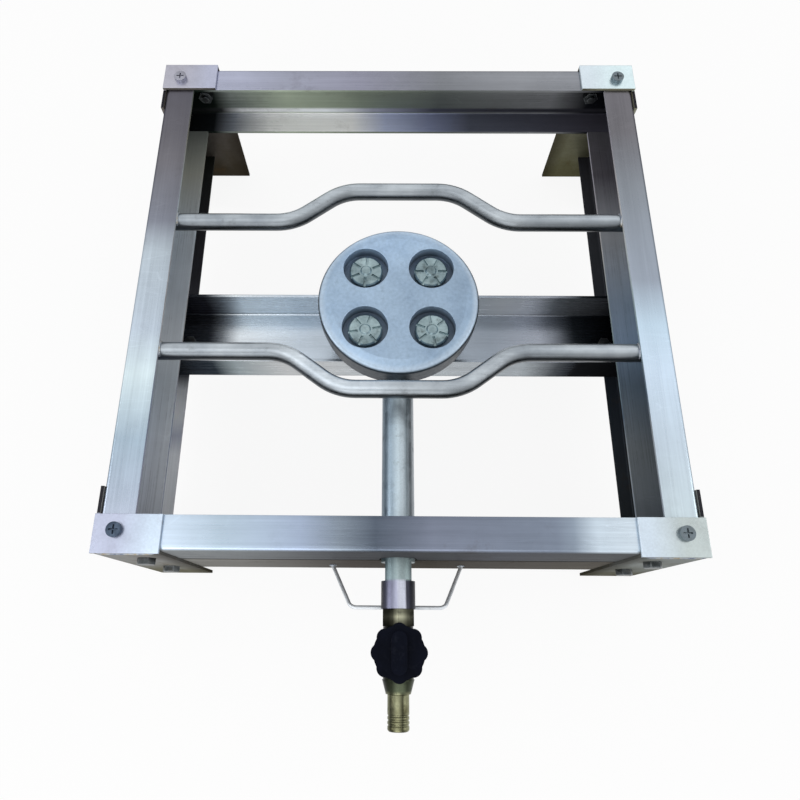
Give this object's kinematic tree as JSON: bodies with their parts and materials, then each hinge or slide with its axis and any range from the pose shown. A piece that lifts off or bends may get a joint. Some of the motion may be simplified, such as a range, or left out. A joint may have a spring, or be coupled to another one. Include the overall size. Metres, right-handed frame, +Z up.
{
  "type": "single burner gas stove",
  "caption": "Low gas stove: folded steel stand on angle legs, a cross channel with a round cup burner, cranked pan bars, and a gas tap with a hose nipple.",
  "frame": {"origin": "centre of the underside of the bounding box, on the floor", "axes": "+Z up, +Y from the gas tap to the back of the stand, +X to the right seen from the tap"},
  "size_m": [0.3668, 0.47, 0.1288],
  "materials": {
    "stainless_sheet": "brushed, lightly worn",
    "skirt_sheet": "dull, stained by heat",
    "leg_steel": "dull mill finish",
    "bright_steel": "satin",
    "fastener_steel": "dark, oxidised",
    "burner_casting": "silver heat paint",
    "brass": "dull, handled",
    "knob_plastic": "black, smooth"
  },
  "bodies": {
    "stand": {"rail_front": "stainless_sheet", "rail_back": "stainless_sheet", "rail_left": "stainless_sheet", "rail_right": "stainless_sheet", "skirt_front": "skirt_sheet", "skirt_left": "skirt_sheet", "skirt_right": "skirt_sheet", "leg_front_left": "leg_steel", "leg_front_right": "leg_steel", "leg_back_left": "leg_steel", "leg_back_right": "leg_steel", "leg_bolts": "fastener_steel", "leg_nuts": "fastener_steel", "corner_screws": "fastener_steel", "corner_nuts": "fastener_steel", "cross_channel": "stainless_sheet", "cleat_left": "skirt_sheet", "cleat_right": "skirt_sheet", "cleat_bolts": "fastener_steel", "cleat_nuts": "fastener_steel", "pan_bar_front": "bright_steel", "pan_bar_back": "bright_steel", "burner_bowl": "burner_casting", "burner_top": "burner_casting", "burner_jet_front_left": "brass", "burner_jet_front_right": "brass", "burner_jet_back_left": "brass", "burner_jet_back_right": "brass", "burner_bolt": "fastener_steel", "burner_washer": "fastener_steel", "mixing_tube": "bright_steel", "wire_bracket": "bright_steel", "tap_body": "brass", "gas_injector": "brass", "spring_washer": "bright_steel", "gland_nut": "brass", "hose_nipple": "brass"},
    "tap_knob": {"knob": "knob_plastic", "tap_plug": "brass"}
  },
  "joints": [
    {"name": "knob_turn", "type": "hinge", "parent": "stand", "child": "tap_knob", "pos_m": [0, -0.19145, 0.08605], "axis": [0, 0, 1], "range_deg": [0, 90]}
  ]
}
